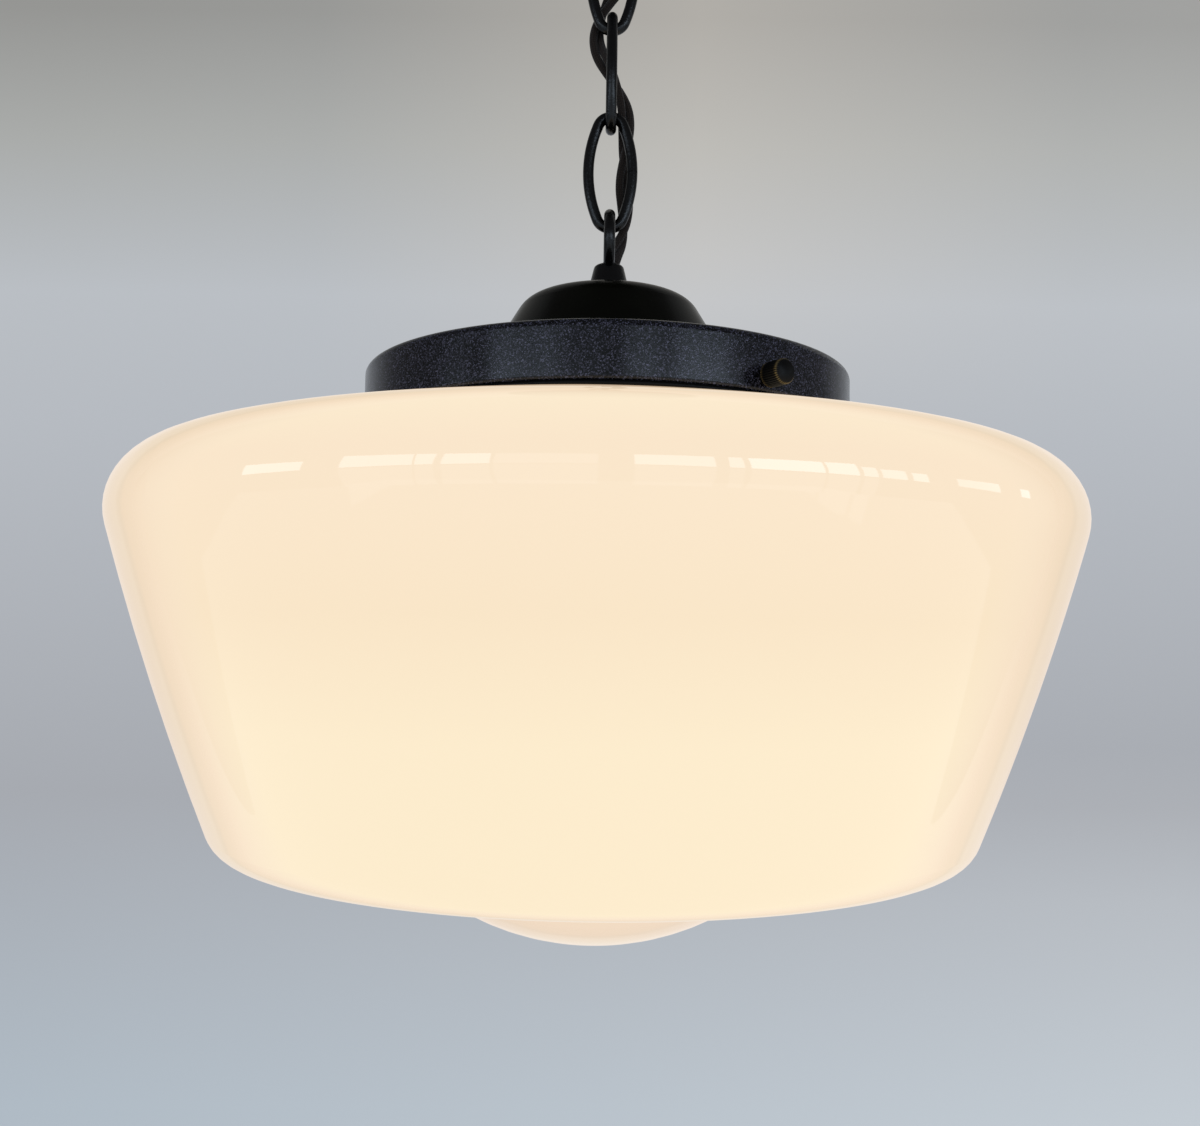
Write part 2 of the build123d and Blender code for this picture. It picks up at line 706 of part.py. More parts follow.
save(diffuser, "bulb_diffuser", opal)

# Supply cord: comes down the canopy loop, behind the broad links and through the middle one,
# then past the fixture loop into its neck. Offsets are (right, back, height) from hinge to hinge.
behind = (link_wire_d + cord_d) / 2 + 0.2
top_hinge = hinge_heights[0]
upper_hinge = hinge_heights[1]
lower_hinge = hinge_heights[2]
last_hinge = hinge_heights[3]
cord_points = [
    (0, 0, strap_nipple_above - 1),
    (0.3, 0, strap_nipple_above - 17),
    (-0.2, 0.2, strap_nipple_above - 31),
    (0, 0.1, top_hinge + 25),
    (0.5, 0.35, top_hinge + 15.4),
    (5.2, 5.1, top_hinge + 5),
    (5.6, behind + 0.3, top_hinge - 5),
    (3.0, behind + 0.5, top_hinge - 14.5),
    (-2.2, behind + 0.5, upper_hinge + 11.5),
    (-5.6, behind + 0.3, upper_hinge + 2.5),
    (-4.9, 3.4, upper_hinge - 6),
    (0, 1.0, (upper_hinge + lower_hinge + chain_lift) / 2),
    (4.9, 3.4, lower_hinge + chain_lift + 6),
    (5.6, behind + 0.3, lower_hinge + chain_lift - 2.5),
    (4.6, behind + 0.4, lower_hinge - 8),
    (4.4, behind + 0.5, lower_hinge - 17.5),
    (5.6, behind + 0.3, last_hinge + 9),
    (5.2, 5.1, last_hinge - 1),
    (0.5, 0.35, last_hinge - 11.4),
    (0, 0.1, last_hinge - 21),
    (-0.3, 0.1, last_hinge - 35),
    (0.2, -0.1, last_hinge - 51),
    (0, 0, fixture_nipple_bottom - 1),
]
supply_cord, cord_length, cord_radii, cord_ratio = tube_along(cord_points, cord_d)
print("supply cord length", round(cord_length, 1), "volume ratio", round(cord_ratio, 4))
print("supply cord radii", [round(radius, 1) for radius in cord_radii])
save(supply_cord, "supply_cord", cloth)


# Conductors: the cord's two cores run on to the lampholder's terminals
def lead(points):
    solid, length, radii, ratio = tube_along(points, lead_d)
    print("lead length", round(length, 1), "ratio", round(ratio, 4), [round(r, 1) for r in radii])
    return solid


terminal_top = socket_body_top + terminal_head_gap + terminal_head_height
core = lead_d / 2 + 0.15
leads_below = []
for side in (-1, 1):
    leads_below.append(
        lead(
            [
                (side * core, 0, fixture_nipple_bottom - 1.1),
                (side * core, 0, fixture_nipple_bottom - 3.5),
                (side * terminal_x, 0, fixture_nipple_bottom - 6.5),
                (side * terminal_x, 0, terminal_top + 0.1),
            ]
        )
    )
save(grouped(leads_below), "lampholder_leads", cloth)

# and, above the strap, over its edges down to the connectors inside the canopy
connector_y = strap_width / 2 + connector_d / 2 + connector_from_strap
connector_bottom = connector_top - connector_length
leads_above = []
connectors = []
for side in (-1, 1):
    leads_above.append(
        lead(
            [
                (0, side * core, strap_nipple_above - 0.9),
                (0, side * core, strap_nipple_above + 4),
                (side * 2, side * 6.5, strap_nipple_above + 8.5),
                (side * 6.5, side * (connector_y - 3), strap_nipple_above + 6.5),
                (side * connector_x, side * connector_y, strap_nipple_above - 1),
                (side * connector_x, side * connector_y, connector_top - 6),
            ]
        )
    )
    shell = FilletPolyline(
        (0, connector_top),
        (connector_d / 2, connector_top),
        (connector_d / 2 - connector_taper, connector_bottom + connector_nose_height),
        (connector_d / 2 - connector_nose_step, connector_bottom),
        (0, connector_bottom),
        radius=[0, 0.6, 2.0, 1.0, 0],
        close=True,
    )
    bore = rod(lead_d + 0.5, connector_top + beyond, connector_top - connector_bore_depth)
    connector = turned(shell) - bore
    connectors.append(Pos(side * connector_x, side * connector_y, 0) * connector)
save(grouped(leads_above), "ceiling_leads", cloth)
save(grouped(connectors), "wire_connectors", (0.75, 0.35, 0.1))
print("hinges", [round(height, 2) for height in hinge_heights])
print("holder top", round(holder_top, 2), "glass bottom", round(outer_corners[-1][1], 2))
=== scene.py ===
import json
import math

import bpy
from mathutils import Matrix, Vector


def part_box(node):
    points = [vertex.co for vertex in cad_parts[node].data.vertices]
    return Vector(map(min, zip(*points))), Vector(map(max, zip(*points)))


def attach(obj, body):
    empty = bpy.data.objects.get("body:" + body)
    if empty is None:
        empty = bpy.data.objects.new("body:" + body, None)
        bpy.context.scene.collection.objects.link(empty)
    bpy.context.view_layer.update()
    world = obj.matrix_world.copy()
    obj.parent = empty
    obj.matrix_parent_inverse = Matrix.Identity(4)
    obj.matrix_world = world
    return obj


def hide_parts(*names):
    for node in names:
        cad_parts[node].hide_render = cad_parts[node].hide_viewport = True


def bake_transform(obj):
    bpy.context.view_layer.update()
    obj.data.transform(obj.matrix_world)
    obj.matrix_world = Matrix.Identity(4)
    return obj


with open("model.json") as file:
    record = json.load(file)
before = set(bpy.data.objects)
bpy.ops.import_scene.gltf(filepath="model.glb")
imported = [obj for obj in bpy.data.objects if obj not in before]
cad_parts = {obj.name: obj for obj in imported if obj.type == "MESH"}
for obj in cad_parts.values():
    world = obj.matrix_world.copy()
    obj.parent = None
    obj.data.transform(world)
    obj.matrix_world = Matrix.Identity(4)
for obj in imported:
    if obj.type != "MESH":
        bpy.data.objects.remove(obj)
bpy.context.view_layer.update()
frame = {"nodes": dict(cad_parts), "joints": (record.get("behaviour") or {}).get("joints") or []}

# The camera. The photo was taken from close up, a little below the shade's shoulder, with
# a wide phone lens held almost level.
lens_mm = 34.965
sensor_mm = 36.0
eye = Vector((-0.0028, -0.3886, -0.3079))
turn_right = 0.0031
tilt_up = 0.0716
roll = 0.0143
look = Vector(
    (
        math.sin(turn_right) * math.cos(tilt_up),
        math.cos(turn_right) * math.cos(tilt_up),
        math.sin(tilt_up),
    )
)
level_right = look.cross(Vector((0, 0, 1))).normalized()
level_up = level_right.cross(look)
right = level_right * math.cos(roll) + level_up * math.sin(roll)
up = right.cross(look)
camera = bpy.data.objects.new("camera", bpy.data.cameras.new("camera"))
camera.data.sensor_width = sensor_mm
camera.data.lens = lens_mm
camera.data.clip_start = 0.01
aim = Matrix((right, up, -look)).transposed().to_4x4()
camera.matrix_world = Matrix.Translation(eye) @ aim
bpy.context.scene.collection.objects.link(camera)
bpy.context.scene.camera = camera
bpy.context.scene.view_settings.view_transform = "Standard"


# The room: a pale grey wall behind the lamp that runs down into the floor in one sweep.
# It is lightest behind the shoulder of the shade and cooler towards the floor.
class Socket:
    """One output of a node, so that maths on it reads as an ordinary expression."""

    def __init__(self, nodes, socket):
        self.nodes = nodes
        self.socket = socket

    def __add__(self, other):
        return self.nodes.maths("ADD", self, other)

    def __sub__(self, other):
        return self.nodes.maths("SUBTRACT", self, other)

    def __rsub__(self, other):
        return self.nodes.maths("SUBTRACT", other, self)

    def __mul__(self, other):
        return self.nodes.maths("MULTIPLY", self, other)

    def __truediv__(self, other):
        return self.nodes.maths("DIVIDE", self, other)

    def __pow__(self, other):
        return self.nodes.maths("POWER", self, other)

    def __abs__(self):
        return self.nodes.maths("ABSOLUTE", self)

    def clamped(self):
        """The same value, held between 0 and 1."""
        return self.nodes.maths("ADD", self, clamp=True)

    __radd__ = __add__
    __rmul__ = __mul__


class Nodes:
    """A tree of nodes. Each call makes one node and gives back one of its outputs."""

    def __init__(self, tree):
        self.tree = tree

    def node(self, kind, settings=None, sockets=None, output=0):
        made = self.tree.nodes.new(kind)
        for name, value in (settings or {}).items():
            if name == "stops":
                ramp = made.color_ramp
                while len(ramp.elements) < len(value):
                    ramp.elements.new(0.5)
                for stop, (place, colour) in zip(ramp.elements, value):
                    stop.position = place
                    stop.color = (*colour, 1.0)
            elif name == "captured":
                made.capture_items.new("FLOAT", value)
            else:
                setattr(made, name, value)
        for name, value in (sockets or {}).items():
            for each in value if isinstance(value, list) else [value]:
                if isinstance(each, Socket):
                    self.tree.links.new(each.socket, made.inputs[name])
                else:
                    made.inputs[name].default_value = each
        return Socket(self, made.outputs[output])

    def maths(self, operation, first, second=0.0, clamp=False):
        settings = {"operation": operation, "use_clamp": clamp}
        return self.node("ShaderNodeMath", settings, {0: first, 1: second})

    def part_of(self, vector, axis):
        return self.node("ShaderNodeSeparateXYZ", {}, {0: vector}, axis)


class Finish(Nodes):
    """The nodes of a material or of the world."""

    def __init__(self, name, owner=None):
        self.owner = owner or bpy.data.materials.new(name)
        self.owner.use_nodes = True
        super().__init__(self.owner.node_tree)
        self.tree.nodes.clear()

    def place(self, output="Object"):
        return self.node("ShaderNodeTexCoord", output=output)

    def mixed(self, share, first, second):
        first, second = (
            (*colour, 1.0) if isinstance(colour, tuple) else colour for colour in (first, second)
        )
        return self.node(
            "ShaderNodeMix", {"data_type": "RGBA"}, {0: share, 6: first, 7: second}, output=2
        )

    def noise(self, scale, detail=2.0):
        sockets = {"Vector": self.place(), "Scale": scale, "Detail": detail}
        return self.node("ShaderNodeTexNoise", {}, sockets)

    def ramp(self, value, stops):
        return self.node("ShaderNodeValToRGB", {"stops": stops}, {0: value})

    def relief(self, height, strength, distance):
        sockets = {"Height": height, "Strength": strength, "Distance": distance}
        return self.node("ShaderNodeBump", {}, sockets)

    def surface(self, shader, kind="ShaderNodeOutputMaterial"):
        self.tree.links.new(shader.socket, self.tree.nodes.new(kind).inputs["Surface"])
        return self.owner

    def seen(self):
        """Whole for what the camera sees, straight or in a mirror or through glass."""
        straight, mirrored, through = (
            self.node("ShaderNodeLightPath", output=ray)
            for ray in ("Is Camera Ray", "Is Glossy Ray", "Is Transmission Ray")
        )
        return (straight + mirrored + through).clamped()

    def coated(self, sockets):
        return self.surface(self.node("ShaderNodeBsdfPrincipled", {}, sockets))


def srgb(red, green, blue):
    """A colour read as 0 to 255 on screen, turned into the renderer's linear values."""
    return tuple(
        value / 255 / 12.92 if value <= 10 else ((value / 255 + 0.055) / 1.055) ** 2.4
        for value in (red, green, blue)
    )


room_grey = (0.23, 0.24, 0.255)


def wall_tone(finish, height, across):
    """Wall colour at a height and a distance to the right of the lamp, both in metres."""
    floor_end, top_end, half_view = -0.79, 0.38, 0.58
    up_the_wall = (height - floor_end) / (top_end - floor_end)
    tone = finish.ramp(
        up_the_wall,
        [
            (0.02, srgb(178, 189, 199)),
            (0.28, srgb(168, 171, 177)),
            (0.6, srgb(185, 189, 195)),
            (0.72, srgb(189, 193, 198)),
            (0.86, srgb(171, 172, 169)),
            (0.98, srgb(149, 148, 144)),
        ],
    )
    # Daylight from the right lightens the foot and the head of the wall.
    lighter = {0.02: 0.22, 0.2: 0.15, 0.33: 0.0, 0.6: 0.0, 0.86: 0.085}
    from_right = finish.ramp(up_the_wall, [(up, (share,) * 3) for up, share in lighter.items()])
    to_the_right = ((across + half_view) / (2 * half_view)).clamped()
    tone = finish.mixed(from_right * to_the_right, tone, (1.0, 1.0, 1.0))
    # The lit lamp throws a little warm light on the wall above and behind it.
    behind_lamp = (1.0 - abs(across - 0.1) * 2.5).clamped()
    high_up = (height * 5.0 + 0.5).clamped()
    tone = finish.mixed(behind_lamp * high_up * 0.17, tone, srgb(255, 240, 220))
    # Far out to the sides the wall fades into the room, so that no edge shows in the glass.
    fade = ((abs(across) - 0.65) / 1.05).clamped()
    above_floor = (height * 2.0 + 2.3).clamped()
    return finish.mixed(fade * above_floor, tone, room_grey)


wall_y = 0.8
floor_z = -1.25
sweep_radius = 0.3
sweep_steps = 12
floor_front = -4.0
wall_top = 2.2
sweep_profile = [(floor_front, floor_z), (wall_y - sweep_radius, floor_z)]
for step in range(1, sweep_steps + 1):
    angle = math.radians(90 * step / sweep_steps)
    sweep_profile.append(
        (
            wall_y - sweep_radius + sweep_radius * math.sin(angle),
            floor_z + sweep_radius - sweep_radius * math.cos(angle),
        )
    )
sweep_profile.append((wall_y, wall_top))
floor_half_width = 4.0
wall_half_width = 1.7
sweep_mesh = bpy.data.meshes.new("backdrop")
sweep_mesh.from_pydata(
    [
        (side * (floor_half_width if z == floor_z else wall_half_width), y, z)
        for y, z in sweep_profile
        for side in (-1, 1)
    ],
    [],
    [(2 * row, 2 * row + 1, 2 * row + 3, 2 * row + 2) for row in range(len(sweep_profile) - 1)],
)
sweep_mesh.shade_smooth()
backdrop = bpy.data.objects.new("backdrop", sweep_mesh)
bpy.context.scene.collection.objects.link(backdrop)
wall_paint = Finish("wall_paint")
wall_place = wall_paint.place()
across, height = (wall_paint.part_of(wall_place, axis) for axis in (0, 2))
shown_tone = wall_tone(wall_paint, height, across)
shown_wall = wall_paint.node("ShaderNodeEmission", {}, {"Color": shown_tone, "Strength": 1.0})
lit_wall = wall_paint.node("ShaderNodeBsdfDiffuse", {}, {"Color": (0.6, 0.62, 0.64, 1.0)})
shown_share = wall_paint.seen() * 0.9
wall = wall_paint.node("ShaderNodeMixShader", {}, {0: shown_share, 1: lit_wall, 2: shown_wall})
backdrop.data.materials.append(wall_paint.surface(wall))

# The light in the room: soft daylight from all round, and a long row of paned windows
# behind the camera, which show on the glass shoulder and as soft bars on the holder.
daylight = Finish("daylight", bpy.data.worlds.new("daylight"))
bpy.context.scene.world = daylight.owner
upward = daylight.part_of(daylight.place("Generated"), 2)
room_tone = daylight.ramp(
    upward * 0.5 + 0.5,
    [
        (0.0, (0.28, 0.29, 0.3)),
        (0.5, room_grey),
        (0.62, (0.17, 0.175, 0.185)),
        (0.9, (0.1, 0.1, 0.105)),
    ],
)
shown_room = daylight.node("ShaderNodeBackground", {}, {"Color": room_tone, "Strength": 1.0})
room_light = daylight.node(
    "ShaderNodeBackground", {}, {"Color": (0.42, 0.44, 0.47, 1.0), "Strength": 1.0}
)
room = daylight.node("ShaderNodeMixShader", {}, {0: daylight.seen(), 1: room_light, 2: shown_room})
daylight.surface(room, "ShaderNodeOutputWorld")

window_distance = 2.6
daylight_blue = (0.7, 0.84, 1.0)
# Each pane's first and last angle round the camera's side, its head's height and its light.
upper_panes = [
    (-77, -62, 0.25, 3.0),
    (-53, -47, 0.42, 3.0),
    (-47, -37.6, 0.42, 3.0),
    (-36.8, -32.8, 0.42, 3.0),
    (-31.6, -21.2, 0.42, 3.0),
    (-20.4, 0, 0.42, 0.9),
    (7, 23, 0.42, 3.0),
    (26, 29, 0.42, 3.0),
    (30, 46, 0.42, 4.4),
    (46.6, 53.6, 0.42, 4.0),
    (54.6, 58, 0.3, 3.0),
    (59, 65, 0.25, 3.0),
    (66.5, 70.5, 0.2, 3.0),
    (78.5, 91.6, 0.15, 2.0),
    (99, 102.4, 0.1, 2.0),
]
upper_sill = -0.15
lower_sill = -1.2
lower_head = -0.2
lower_pane_light = 0.5
widest_lower_angle = 55
window_panes = [(first, last, upper_sill, head, light) for first, last, head, light in upper_panes]
for first, last, _, _ in upper_panes:
    if abs(first) < widest_lower_angle:
        window_panes.append((first, last, lower_sill, lower_head, lower_pane_light))
for first, last, sill, head, pane_light in window_panes:
    angle = math.radians((first + last) / 2)
    width = window_distance * math.radians(last - first)
    lamp = bpy.data.lights.new("window_pane", "AREA")
    lamp.shape = "RECTANGLE"
    lamp.size = width
    lamp.size_y = head - sill
    lamp.color = daylight_blue
    lamp.energy = pane_light * math.pi * width * (head - sill)
    window = bpy.data.objects.new("window_pane", lamp)
    window.location = (
        window_distance * math.sin(angle),
        -window_distance * math.cos(angle),
        (sill + head) / 2,
    )
    window.rotation_euler = (math.radians(90), 0, angle)
    window.visible_camera = False
    bpy.context.scene.collection.objects.link(window)

# Supply cord: two cores in brown-black braided cloth, twisted together. It comes down
# through the canopy loop, weaves through the chain and goes into the loop on the cap.
link_hinges = [joint["pos_m"][2] for joint in frame["joints"] if "pos_m" in joint]
top_hinge, upper_hinge, lower_hinge, last_hinge = link_hinges
link_lift = 0.00395
behind = 0.00485
cord_route = [
    (0, 0, 0.005),
    (0.0003, 0, -0.011),
    (-0.0002, 0.0002, -0.025),
    (0, 0.0001, top_hinge + 0.025),
    (0.0005, 0.00035, top_hinge + 0.0154),
    (0.0052, 0.0051, top_hinge + 0.005),
    (0.0056, behind + 0.0003, top_hinge - 0.005),
    (0.0030, behind + 0.0005, top_hinge - 0.0145),
    (-0.0022, behind + 0.0005, upper_hinge + 0.0115),
    (-0.0056, behind + 0.0003, upper_hinge + 0.0025),
    (-0.0049, 0.0034, upper_hinge - 0.006),
    (0, 0.0010, (upper_hinge + lower_hinge + link_lift) / 2),
    (0.0049, 0.0034, lower_hinge + link_lift + 0.006),
    (0.0056, behind + 0.0003, lower_hinge + link_lift - 0.0025),
    (0.0046, behind + 0.0004, lower_hinge - 0.008),
    (0.0044, behind + 0.0005, lower_hinge - 0.0175),
    (0.0056, behind + 0.0003, last_hinge + 0.009),
    (0.0052, 0.0051, last_hinge - 0.001),
    (0.0005, 0.00035, last_hinge - 0.0114),
    (0, 0.0001, last_hinge - 0.021),
    (-0.0003, 0.0001, last_hinge - 0.035),
    (0.0002, -0.0001, last_hinge - 0.051),
    (0, 0, -0.2341),
]
core_diameter = 0.00285
twist_length = 0.052
twist_ahead = 0.0073
route_curve = bpy.data.curves.new("cord_route", "CURVE")
route_curve.dimensions = "3D"
route_curve.resolution_u = 16
spline = route_curve.splines.new("NURBS")
spline.points.add(len(cord_route) - 1)
for point, place in zip(spline.points, cord_route):
    point.co = (*place, 1.0)
spline.order_u = 3
spline.use_endpoint_u = True
route_object = bpy.data.objects.new("cord_route", route_curve)
bpy.context.scene.collection.objects.link(route_object)
graph = bpy.context.evaluated_depsgraph_get()
route_line = bpy.data.meshes.new_from_object(route_object.evaluated_get(graph))
bpy.data.objects.remove(route_object)
route_points = [vertex.co.copy() for vertex in route_line.vertices]


def length_down_to(height):
    """Length of cord from its top end down to a height, or all of it."""
    total = 0.0
    for above, below in zip(route_points, route_points[1:]):
        if below.z < height:
            return total + (above - below).length * (above.z - height) / (above.z - below.z)
        total += (above - below).length
    return total


class Recipe(Nodes):
    """A geometry node tree with named inputs for the sizes and material of one kind of piece."""

    def __init__(self, name, sizes, counts=()):
        super().__init__(bpy.data.node_groups.new(name, "GeometryNodeTree"))
        inputs = {"Geometry": "Geometry", **dict.fromkeys(sizes, "Float")}
        inputs.update({**dict.fromkeys(counts, "Int"), "Material": "Material"})
        new_socket = self.tree.interface.new_socket
        for label, kind in inputs.items():
            new_socket(label, in_out="INPUT", socket_type="NodeSocket" + kind)
        new_socket("Geometry", in_out="OUTPUT", socket_type="NodeSocketGeometry")
        self.inputs = self.tree.nodes.new("NodeGroupInput")

    def given(self, *labels):
        """The named inputs, one socket for each label."""
        return [Socket(self, self.inputs.outputs[label]) for label in labels]

    def vector(self, x=0.0, y=0.0, z=0.0):
        return self.node("ShaderNodeCombineXYZ", {}, {0: x, 1: y, 2: z})

    def vector_maths(self, operation, first, second):
        return self.node("ShaderNodeVectorMath", {"operation": operation}, {0: first, 1: second})

    def finish_with(self, geometry):
        realized = self.node("GeometryNodeRealizeInstances", {}, {0: geometry})
        (material,) = self.given("Material")
        sockets = {"Geometry": realized, "Material": material}
        painted = self.node("GeometryNodeSetMaterial", {}, sockets)
        self.tree.links.new(painted.socket, self.tree.nodes.new("NodeGroupOutput").inputs[0])

    def make(self, name, values, mesh=None):
        """Run the recipe, on a mesh where it needs one, and return the result as a plain object."""
        maker = bpy.data.objects.new(name + "_maker", mesh or bpy.data.meshes.new(name + "_maker"))
        bpy.context.scene.collection.objects.link(maker)
        modifier = maker.modifiers.new("recipe", "NODES")
        modifier.node_group = self.tree
        for item in self.tree.interface.items_tree:
            if item.in_out == "INPUT" and item.name in values:
                modifier[item.identifier] = values[item.name]
        evaluated = maker.evaluated_get(bpy.context.evaluated_depsgraph_get())
        piece = bpy.data.objects.new(name, bpy.data.meshes.new_from_object(evaluated))
        bpy.data.objects.remove(maker)
        piece.data.name = name
        bpy.context.scene.collection.objects.link(piece)
        return piece


core_step = 0.0005
core_sides = 15
twisted_pair = Recipe(
    "twisted_pair", ["Start", "End", "Core diameter", "Twist length", "Twist ahead"]
)
start, end, core_width, twist, ahead = twisted_pair.given(
    "Start", "End", "Core diameter", "Twist length", "Twist ahead"
)
route = twisted_pair.node(
    "GeometryNodeMeshToCurve", {}, {0: twisted_pair.given("Geometry")[0]}
)
route = twisted_pair.node(
    "GeometryNodeResampleCurve", {"mode": "LENGTH"}, {"Curve": route, "Length": core_step}
)
run = twisted_pair.node("GeometryNodeSplineParameter", output="Length")
angle = (run + ahead) / twist * math.tau
normal = twisted_pair.node("GeometryNodeInputNormal")
tangent = twisted_pair.node("GeometryNodeInputTangent")
aside = twisted_pair.vector_maths("CROSS_PRODUCT", tangent, normal)
core_radius = core_width * 0.5
sweep = {"Resolution": core_sides, "Start Angle": 0.0, "Sweep Angle": math.tau}
ring = twisted_pair.node("GeometryNodeCurveArc", {}, sweep)
round_share = twisted_pair.node("GeometryNodeSplineParameter", output="Factor")
ring = twisted_pair.node(
    "GeometryNodeCaptureAttribute", {"captured": "round"}, {"Geometry": ring, 1: round_share}
)
captured_round = Socket(twisted_pair, ring.socket.node.outputs[1])
sized = twisted_pair.node(
    "GeometryNodeTransform",
    {},
    {"Geometry": ring, "Scale": twisted_pair.vector(core_radius, core_radius, core_radius)},
)
cores = []
for side in (1.0, -1.0):
    shifts = [
        twisted_pair.node(
            "ShaderNodeVectorMath",
            {"operation": "SCALE"},
            {0: direction, "Scale": twisted_pair.maths(swing, angle) * core_radius * side},
        )
        for direction, swing in ((normal, "COSINE"), (aside, "SINE"))
    ]
    core = twisted_pair.node(
        "GeometryNodeCaptureAttribute", {"captured": "run"}, {"Geometry": route, 1: run}
    )
    captured_run = Socket(twisted_pair, core.socket.node.outputs[1])
    core = twisted_pair.node(
        "GeometryNodeSetPosition",
        {},
        {"Geometry": core, "Offset": twisted_pair.vector_maths("ADD", *shifts)},
    )
    core = twisted_pair.node(
        "GeometryNodeTrimCurve", {"mode": "LENGTH"}, {"Curve": core, 4: start, 5: end}
    )
    skin = twisted_pair.node(
        "GeometryNodeCurveToMesh", {}, {"Curve": core, "Profile Curve": sized}
    )
    skin = twisted_pair.node(
        "GeometryNodeStoreNamedAttribute",
        {"data_type": "FLOAT2", "domain": "CORNER"},
        {"Geometry": skin, "Name": "UVMap", 3: twisted_pair.vector(captured_run, captured_round)},
    )
    cores.append(twisted_pair.node("GeometryNodeSetShadeSmooth", {}, {0: skin}))
twisted_pair.finish_with(twisted_pair.node("GeometryNodeJoinGeometry", {}, {0: cores}))

braid = Finish("brown_black_braid")
weave_at = braid.place("UV")
along, around = (braid.part_of(weave_at, axis) for axis in (0, 1))
braid_pitch = 0.0016
carriers = 6
left_hand = braid.maths("SINE", (along / braid_pitch + around * carriers) * math.tau)
right_hand = braid.maths("SINE", (along / braid_pitch - around * carriers) * math.tau)
fuzz = braid.noise(scale=9000.0)
# Painted shade and painted highlight: the weave's dips are painted darker and its raised crossings
# lighter, over a random fuzz.
braid_height = left_hand * right_hand * 0.5 + 0.5 + fuzz * 0.35
cloth_material = braid.coated(
    {
        "Base Color": braid.mixed(braid_height, srgb(9, 7, 6), srgb(38, 29, 24)),
        "Roughness": 0.92,
        "Sheen Weight": 0.12,
        "Specular IOR Level": 0.2,
        "Normal": braid.relief(braid_height, strength=0.9, distance=0.00012),
    }
)
middles = [(above + below + link_lift) / 2 for above, below in zip(link_hinges, link_hinges[1:])]
cord_cuts = [0.0, *map(length_down_to, middles), length_down_to(route_points[-1].z)]
cord_bodies = ["ceiling_mount", "link_1", "link_2", "link_3", "fixture"]
for index, hinge in enumerate(link_hinges):
    cord_piece = twisted_pair.make(
        "cord_" + cord_bodies[index],
        {
            "Start": cord_cuts[index],
            "End": cord_cuts[index + 1],
            "Core diameter": core_diameter,
            "Twist length": twist_length,
            "Twist ahead": twist_ahead,
            "Material": cloth_material,
        },
        route_line,
    )
    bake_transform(cord_piece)
    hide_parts("supply_cord")

# Mounting strap, locknuts and washer: stamped and turned steel, zinc plated. The plating is
# faintly clouded, with fine drawing marks that run every way on the flat faces.
def dress(material, *nodes):
    """Give CAD nodes a finish."""
    for node in nodes:
        frame["nodes"][node].data.materials.clear()
        frame["nodes"][node].data.materials.append(material)


def plated(name, dark, bright, roughness, thread_pitch=0.0, thread_depth=0.0):
    """Plated or bare metal, turned with a thread of a given pitch where it has one."""
    finish = Finish(name)
    place = finish.place()
    cloud = finish.noise(scale=160.0, detail=4.0)
    marks = finish.noise(scale=3200.0, detail=2.0)
    if thread_pitch:
        x, y, z = (finish.part_of(place, axis) for axis in (0, 1, 2))
        turns = z / thread_pitch + finish.maths("ARCTAN2", y, x) / math.tau
        wave = finish.maths("SINE", turns * math.tau)
        relief = finish.relief(wave * 0.5 + marks * 0.04, strength=1.0, distance=thread_depth)
        # The thread's grooves are painted darker and its crests lighter: painted shade and painted
        # highlight along the thread.
        tone = finish.mixed(wave * 0.3 + 0.5, dark, bright)
    else:
        relief = finish.relief(marks + cloud, strength=0.25, distance=0.00008)
        tone = finish.mixed(cloud, dark, bright)
    return finish.coated(
        {
            "Base Color": tone,
            "Metallic": 1.0,
            "Roughness": cloud * 0.18 + marks * 0.08 + roughness,
            "Normal": relief,
        }
    )


zinc_steel = plated(
    "zinc_steel",
    dark=(0.42, 0.43, 0.44),
    bright=(0.68, 0.69, 0.7),
    roughness=0.26,
)
dress(zinc_steel, "mounting_strap", "strap_locknut", "lock_washer", "hex_nut")
pipe_thread = plated(
    "pipe_thread",
    dark=(0.36, 0.36, 0.37),
    bright=(0.66, 0.66, 0.66),
    roughness=0.24,
    thread_pitch=0.00141,
    thread_depth=0.0006,
)
dress(pipe_thread, "strap_nipple", "fixture_nipple")

# Ground screw: a washer-head steel screw dipped in green paint, whose tone, gloss and surface vary
# in soft random patches.
green_paint = Finish("green_paint")
green_wear = green_paint.noise(scale=420.0, detail=4.0)
dress(
    green_paint.coated(
        {
            "Base Color": green_paint.mixed(green_wear, (0.02, 0.2, 0.06), (0.06, 0.38, 0.13)),
            "Roughness": green_wear * 0.2 + 0.16,
            "Normal": green_paint.relief(green_wear, strength=0.3, distance=0.0003),
        }
    ),
    "ground_screw",
)

# Leads: the cord's two cores run on apart from each other, each still in its own brown-black
# cloth braid, to the connectors in the canopy and to the lampholder's terminals.
lead_braid = Finish("lead_braid")
threads = lead_braid.noise(scale=2400.0, detail=2.0)
dress(
    lead_braid.coated(
        {
            "Base Color": lead_braid.mixed(threads, srgb(9, 7, 6), srgb(44, 34, 28)),
            "Roughness": threads * 0.1 + 0.85,
            "Normal": lead_braid.relief(threads, strength=0.7, distance=0.0003),
        }
    ),
    "ceiling_leads",
    "lampholder_leads",
)
